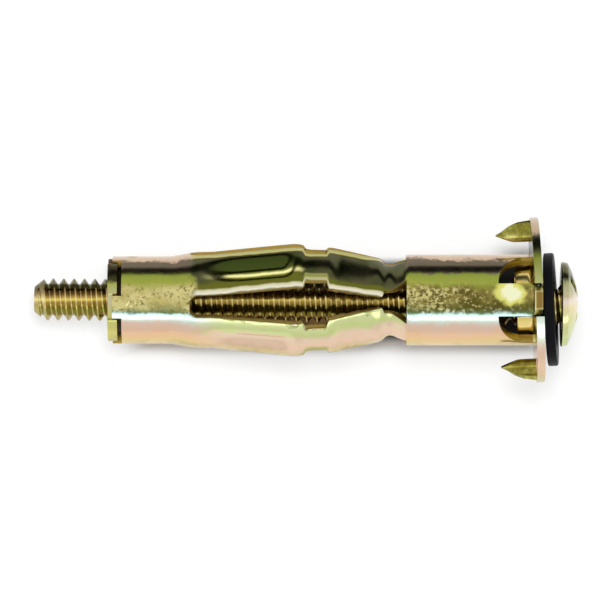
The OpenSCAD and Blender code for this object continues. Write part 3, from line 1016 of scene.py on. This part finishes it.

# %% [markdown]
# A leg has its own order of colours, which paint its highlights and dark
# reflections. Across a leg they go by the distance from its middle, so the maths
# first takes the twist out of the angle round the axis and then folds it into
# one leg. The short half of a leg and its root are painted dark olive: a painted
# dark reflection.
#
# Places and lengths are in millimetres here too. The functions that end in
# "_marks" give the colour of the outside and that of the sheared edges.

# %% The colours across a leg
def across_legs(g, colour, depth, y, z, radius, uneven):
    angle = g.add("ShaderNodeMath", {"operation": "ARCTAN2"}, 0 - y, z)
    around = (angle - depth * (math.radians(TWIST) / SLEEVE_LEN)).sin().arcsine()
    lower = around.step_up(-0.01, 0.01)
    upper = 1 - lower
    folding = depth.step_up(FOLD_START - 0.1, FOLD_START + 0.2)
    folding = folding * depth.step_down(FOLD_END - 0.2, FOLD_END + 0.1)
    half = LEG_W / 2 - folding * ((LEG_W - FOLD_W) / 2)
    across = (around % (math.pi / 2) - math.pi / 4) * (radius - SHEET / 2) / half
    across = across.least(1.0).most(-1.0)
    drift = (uneven - 0.5) * (0.035 + lower * 0.22)
    banded = g.add("ShaderNodeValToRGB", {"stops": LEG_FILM_AND_REFLECTIONS},
                   lower * 0.5 + 0.25 + across * 0.24 + drift)
    short = depth.step_down(FOLD_END - 0.4, FOLD_END + 0.6)
    root = depth.step_up(SLOT_END - 3.1, SLOT_END - 0.7)
    panel = across.step_up(-0.74, -0.62) * across.step_down(0.50, 0.66) * upper
    dark = g.mix(uneven.step_up(0.3, 0.7), PANEL_DARK_REFLECTION, PANEL_PALER_REFLECTION)
    banded = g.mix(short.most(root) * panel, banded, dark)
    banded = g.mix(folding * across.step_up(0.5, 0.6) * 0.7, banded, FOLD_EDGE)
    ragged = depth + (uneven - 0.5) * 2
    run_out = (ragged.step_up(SLOT_END - 0.7, SLOT_END + 0.1) * upper
               + depth.step_up(SLOT_END - 3.5, SLOT_END + 0.6) * lower)
    return g.mix(depth.step_up(TUBE_LEN, TUBE_LEN + 0.2) * (1 - run_out), colour, banded)


def sleeve_marks(g, colour, x, y, z, radius, uneven):
    """The front strap carries a painted highlight, and its bent tab has a dark middle."""
    depth = 0 - x
    colour = across_legs(g, colour, depth, y, z, radius, uneven)
    front = z.step_up(0, 1)
    spot = (((depth - 2.1) * 0.8) ** 2 + (y - 0.6) ** 2) ** 0.5 + (uneven - 0.5) * 1.6
    colour = g.mix(spot.step_down(0.8, 1.3) * front, colour, PAINTED_HIGHLIGHT_RIM)
    colour = g.mix(spot.step_down(0.4, 0.8) * front, colour, PAINTED_HIGHLIGHT)
    middle = y.size().step_down(0.6, 0.9) * (depth + 0.4).size().step_down(0.2, 0.4)
    tab = depth.step_down(0, 0.1) * front
    return colour, g.mix(tab, CUT_EDGE, g.mix(middle, TAB_RIM, TAB_FACE))


def lip_marks(g, colour, x, y, z, radius, uneven):
    """The lip round the screw, seen through the windows, is golden, and paler towards its sides,
    where light from the windows is painted on.
    """
    gold = g.mix(y.size().step_up(1.2, 2.0), LIP_GOLD, LIP_WINDOW_LIGHT)
    return g.mix(radius.step_down(3.1, 3.6), colour, gold), CUT_EDGE


def recess_shade_marks(g, colour, x, y, z, radius, uneven):
    """The recess of the head lies under its dome, and is painted dark there as shade."""
    under = CAP_R - ((x - (TOP - CAP_R)) ** 2 + radius ** 2) ** 0.5
    within = radius.step_down(HEAD_R - 0.25, HEAD_R - 0.15)
    deep = under.step_up(0.16, 0.40) * within * x.step_up(BEARING + 0.15, BEARING + 0.2)
    return g.mix(deep, colour, RECESS_SHADE), CUT_EDGE


# %% The zinc finish
def zinc(name, film_and_reflection_stops, patchy, rough, seed,
         spread=1.0, flat=0.0, cut=1.0, speckled=0.0, marks=None):
    """spread is how far the film follows the round, and so how strongly the ramp paints
    reflections by the way the surface faces. Inside the radius flat it runs in
    straight bands. cut shows the sheared edges and the inside, which is painted shade."""
    material = bpy.data.materials.new(name)
    g = empty_graph(material)
    place = g.add("ShaderNodeTexCoord", out=3)
    straight = g.add("ShaderNodeMapping", None, Vector=place, Rotation=(0, LIE, 0))
    x, y, z = (part / MM for part in g.parts(straight))
    radius = (y * y + z * z) ** 0.5
    round_way = y / radius.most(flat + 0.01) * -0.5
    moved = g.add("ShaderNodeMapping", None, Vector=straight, Location=(seed, seed * 0.7, 0))
    broad = g.add("ShaderNodeTexNoise", None, Vector=moved, Scale=160.0, Detail=1.0)
    patches = g.add("ShaderNodeTexNoise", None, Vector=moved, Scale=640.0, Detail=3.0,
                    Roughness=0.55)
    grain = g.add("ShaderNodeTexNoise", None, Vector=moved, Scale=2800.0, Detail=4.0,
                  Roughness=0.7)
    # The band of the tube that faces up and down is speckled pale and dark.
    speckled_band = round_way.step_up(-0.21, -0.10) * round_way.step_down(0.09, 0.16) * speckled
    # Besides the film's drift, the round_way term paints reflections by the way the surface faces.
    film = (0.5 + round_way * spread + (broad - 0.5) * (patchy * 0.6)
            + (patches - 0.5) * (patchy * (0.6 + speckled_band * 0.8))
            + (grain - 0.5) * (patchy * (0.4 + speckled_band)))
    colour = g.add("ShaderNodeValToRGB", {"stops": film_and_reflection_stops}, film)
    # The specks are palest on the collar and darkest near the flange
    paler = grain + x.step_down(-31, -28) * 0.10 - x.step_up(-10.5, -3.5) * 0.12
    speckle = g.mix(paler.step_up(0.41, 0.59), SPECK_DARK, SPECK_PALE)
    colour = g.mix(speckled_band * (0.35 + patches.step_up(0.35, 0.62) * 0.6), colour, speckle)
    edge_colour = CUT_EDGE
    if marks:
        colour, edge_colour = marks(g, colour, x, y, z, radius, patches)
    side = g.add("ShaderNodeAttribute", {"attribute_name": "sheet_side"}, out=2)
    edge = side.step_up(0.1, 0.4) * cut
    colour = g.mix(edge, colour, edge_colour)
    colour = g.mix(side.step_up(0.6, 0.9) * cut, colour, INSIDE_SHADE)
    dull = grain * 0.1 + patches * 0.12 + (rough - 0.1) + edge * 0.2
    bump = g.add("ShaderNodeBump", None, Strength=0.1, Distance=0.03 * MM,
                 Height=grain + patches * 2)
    shader = g.add("ShaderNodeBsdfPrincipled", None, **{
        "Base Color": colour, "Metallic": 1.0, "Roughness": dull, "Normal": bump})
    g.add("ShaderNodeOutputMaterial", None, shader)
    return material


# How patchy the film is, how rough, and where its noise starts
sheet_zinc = zinc("sleeve_zinc", SHEET_FILM_AND_REFLECTIONS, 0.18, 0.19, 0.0, speckled=1.0, marks=sleeve_marks)
flange_zinc = zinc("flange_zinc", FLANGE_FILM_AND_REFLECTIONS, 0.12, 0.2, 0.17, flat=FLANGE_R, cut=0.0,
                   marks=lip_marks)
prong_zinc = zinc("prong_zinc", PRONG_FILM, 0.9, 0.22, 0.23, spread=0.0, cut=0.0)
nut_zinc = zinc("nut_zinc", NUT_FILM_AND_REFLECTIONS, 0.2, 0.25, 0.31, flat=3.6, cut=0.0)
barrel_shaded_zinc = zinc("barrel_shaded_zinc", BARREL_SHADE, 0.2, 0.4, 0.4)
screw_zinc = zinc("screw_zinc", THREAD_FILM_AND_REFLECTIONS, 0.12, 0.2, 0.57)
head_zinc = zinc("head_zinc", HEAD_FILM_AND_REFLECTIONS, 0.3, 0.2, 0.71, flat=HEAD_R, marks=recess_shade_marks)
print("seven finishes share one recipe")

# %% [markdown]
# ## Rubber
# The washer is black moulded rubber. A fine grain in its roughness and bump
# breaks up the sheen, because a smooth black surface looks like hard plastic.

# %% The rubber finish
rubber = bpy.data.materials.new("washer_rubber")
g = empty_graph(rubber)
place = g.add("ShaderNodeTexCoord", out=3)
grain = g.add("ShaderNodeTexNoise", None, Vector=place, Scale=1800.0, Detail=4.0)
cloud = g.add("ShaderNodeTexNoise", None, Vector=place, Scale=300.0, Detail=3.0)
tone = g.mix(cloud, (0.002, 0.002, 0.0025), (0.006, 0.0065, 0.009))
bump = g.add("ShaderNodeBump", None, Strength=0.2, Distance=0.04 * MM, Height=grain)
skin = g.add("ShaderNodeBsdfPrincipled", None, **{
    "Base Color": tone, "Roughness": grain * 0.15 + 0.38, "Specular IOR Level": 0.06,
    "Normal": bump})
g.add("ShaderNodeOutputMaterial", None, skin)
print("rubber is ready")

# %% [markdown]
# ## Dressing the frame
# Each piece rides on a body, so it moves when the joint moves, and the solids
# that the pieces stand for are hidden.

# %% Riding and replacing
def dress(piece, material, body):
    piece.data.materials.clear()
    piece.data.materials.append(material)
    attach(piece, body)


for pieces, material in (([sleeve], sheet_zinc), (wings, flange_zinc), (prongs, prong_zinc)):
    for piece in pieces:
        dress(piece, material, "sleeve_set")
        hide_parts("sleeve")
for piece, finish in ((nut, nut_zinc), (barrel, barrel_shaded_zinc)):
    dress(piece, finish, "sleeve_set")
    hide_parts("nut")
for piece, finish in ((shank, screw_zinc), (head, head_zinc)):
    dress(piece, finish, "screw")
    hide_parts("screw")
dress(washer, rubber, "washer")
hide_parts("washer")
print("every piece rides on a body")

# %% [markdown]
# ## Floor, light and camera
# The anchor lies on a white floor. To the camera, and in the metal's
# reflections, most of the paper's brightness is its own, so it stays white and
# still keeps a soft shadow. Beside the anchor that brightness fades out, and right
# under it the paper is painted near black: a painted shadow, so that the windows
# and slots look into the dark.

# %% Rays that reach the eye
def seen_by_eye(g):
    """1 for the rays that the camera sends, also off metal and through glass."""
    rays = g.outputs("ShaderNodeLightPath")
    seen = rays["Is Camera Ray"].most(rays["Is Glossy Ray"])
    return seen.most(rays["Is Transmission Ray"])


# %% The floor
# The paper, and a painted shadow right under the anchor. The glow also fades out beside the
# anchor, which paints shade there.
PAPER, PAINTED_SHADOW = (0.9, 0.9, 0.9), (0.025, 0.025, 0.025)
OWN_GLOW = 0.7
floor_z = cad_box[0][2] - 0.02 * MM
bpy.ops.mesh.primitive_plane_add(size=2, location=(0, 0, floor_z))
floor = bpy.context.object
floor.name = "floor"
paper = bpy.data.materials.new("white_paper")
g = empty_graph(paper)
x, y, _ = (part / MM for part in g.parts(g.add("ShaderNodeTexCoord", out=3)))
past_ends = (x + 16.5).size().step_up(16.0, 19.5)
clear = past_ends.most(y.size().step_up(3.8, 5.2))
shade = g.mix(past_ends.most(y.size().step_up(2.9, 3.9)), PAINTED_SHADOW, PAPER)
matt = g.add("ShaderNodeBsdfDiffuse", None, Color=shade)
glow = g.add("ShaderNodeEmission", None, Color=(1, 1, 1, 1), Strength=1.0)
mixed = g.add("ShaderNodeMixShader", None, seen_by_eye(g) * clear * OWN_GLOW, matt, glow)
g.add("ShaderNodeOutputMaterial", None, mixed)
floor.data.materials.append(paper)
print("the floor lies at z =", round(floor_z / MM, 2), "mm")

# %% [markdown]
# Polished metal looks dark only where it mirrors something dark. A dark card
# stands beside the anchor, out of the picture, and casts no shadow.

# %% The dark card
bpy.ops.mesh.primitive_plane_add(size=1, location=(-0.02, 0.08, 0.006),
                                 rotation=(math.pi / 2, 0, 0))
card = bpy.context.object
card.name = "dark_card"
card.scale = (0.3, 0.04, 1)
bpy.ops.object.transform_apply(location=True, rotation=True, scale=True)
felt = bpy.data.materials.new("dark_felt")
g = empty_graph(felt)
nap = g.add("ShaderNodeBsdfPrincipled", None, **{
    "Base Color": (0.01, 0.01, 0.01, 1), "Roughness": 1.0})
g.add("ShaderNodeOutputMaterial", None, nap)
card.data.materials.append(felt)
card.visible_camera = False
card.visible_diffuse = False
card.visible_shadow = False
print("the card is", [round(side / MM) for side in card.dimensions], "mm")

# %% The light
world = bpy.data.worlds.new("studio")
bpy.context.scene.world = world
g = empty_graph(world)
_, _, upward = g.parts(g.add("ShaderNodeTexCoord", out=0))
above = g.mix(upward.step_up(0.45, 0.95), (0, 0, 0), (1, 1, 1))
soft = g.add("ShaderNodeBackground", None, Color=above, Strength=1.1)
white = g.add("ShaderNodeBackground", None, Color=(1, 1, 1, 1), Strength=0.9)
g.add("ShaderNodeOutputWorld", None,
      g.add("ShaderNodeMixShader", None, seen_by_eye(g), soft, white))


def lamp(name, spot, aim, size, power):
    data = bpy.data.lights.new(name, "AREA")
    data.shape = "RECTANGLE"
    data.size, data.size_y = size
    data.energy = power
    light = bpy.data.objects.new(name, data)
    bpy.context.scene.collection.objects.link(light)
    light.location = spot
    light.rotation_euler = (Vector(aim) - Vector(spot)).to_track_quat("-Z", "Y").to_euler()
    return light


MIDDLE = Vector((-0.0202, 0, 0))
key = lamp("key", (-0.05, 0.11, 0.5), MIDDLE, (0.16, 0.16), 2.1)
key.visible_glossy = False
strip = lamp("strip", (0, -0.36, 0.37), MIDDLE, (0.8, 0.14), 0.38)
strip.visible_diffuse = False
print("the lamps give", round(key.data.energy + strip.data.energy, 2), "watts in all")

# %% The camera
# The picture's width and the column of the frame's origin in pixels, and the scale
PICTURE, ORIGIN_AT, PX = 600, 533, 11.54
FAR = 0.6
view = bpy.data.cameras.new("camera")
camera = bpy.data.objects.new("camera", view)
bpy.context.scene.collection.objects.link(camera)
bpy.context.scene.camera = camera
view.sensor_width = 36
view.lens = view.sensor_width * FAR / (PICTURE / PX * MM)
view.clip_end = 10
centre = ((PICTURE / 2 - ORIGIN_AT) / PX * MM, 0, FAR)
camera.matrix_world = LAY @ Matrix.Translation(centre)
bpy.context.scene.view_settings.view_transform = "Standard"
print("the view is", round(PICTURE / PX, 1), "mm wide")

# %% Hand over
print("solids:", [[round(1000 * v, 2) for v in c] for c in cad_box])
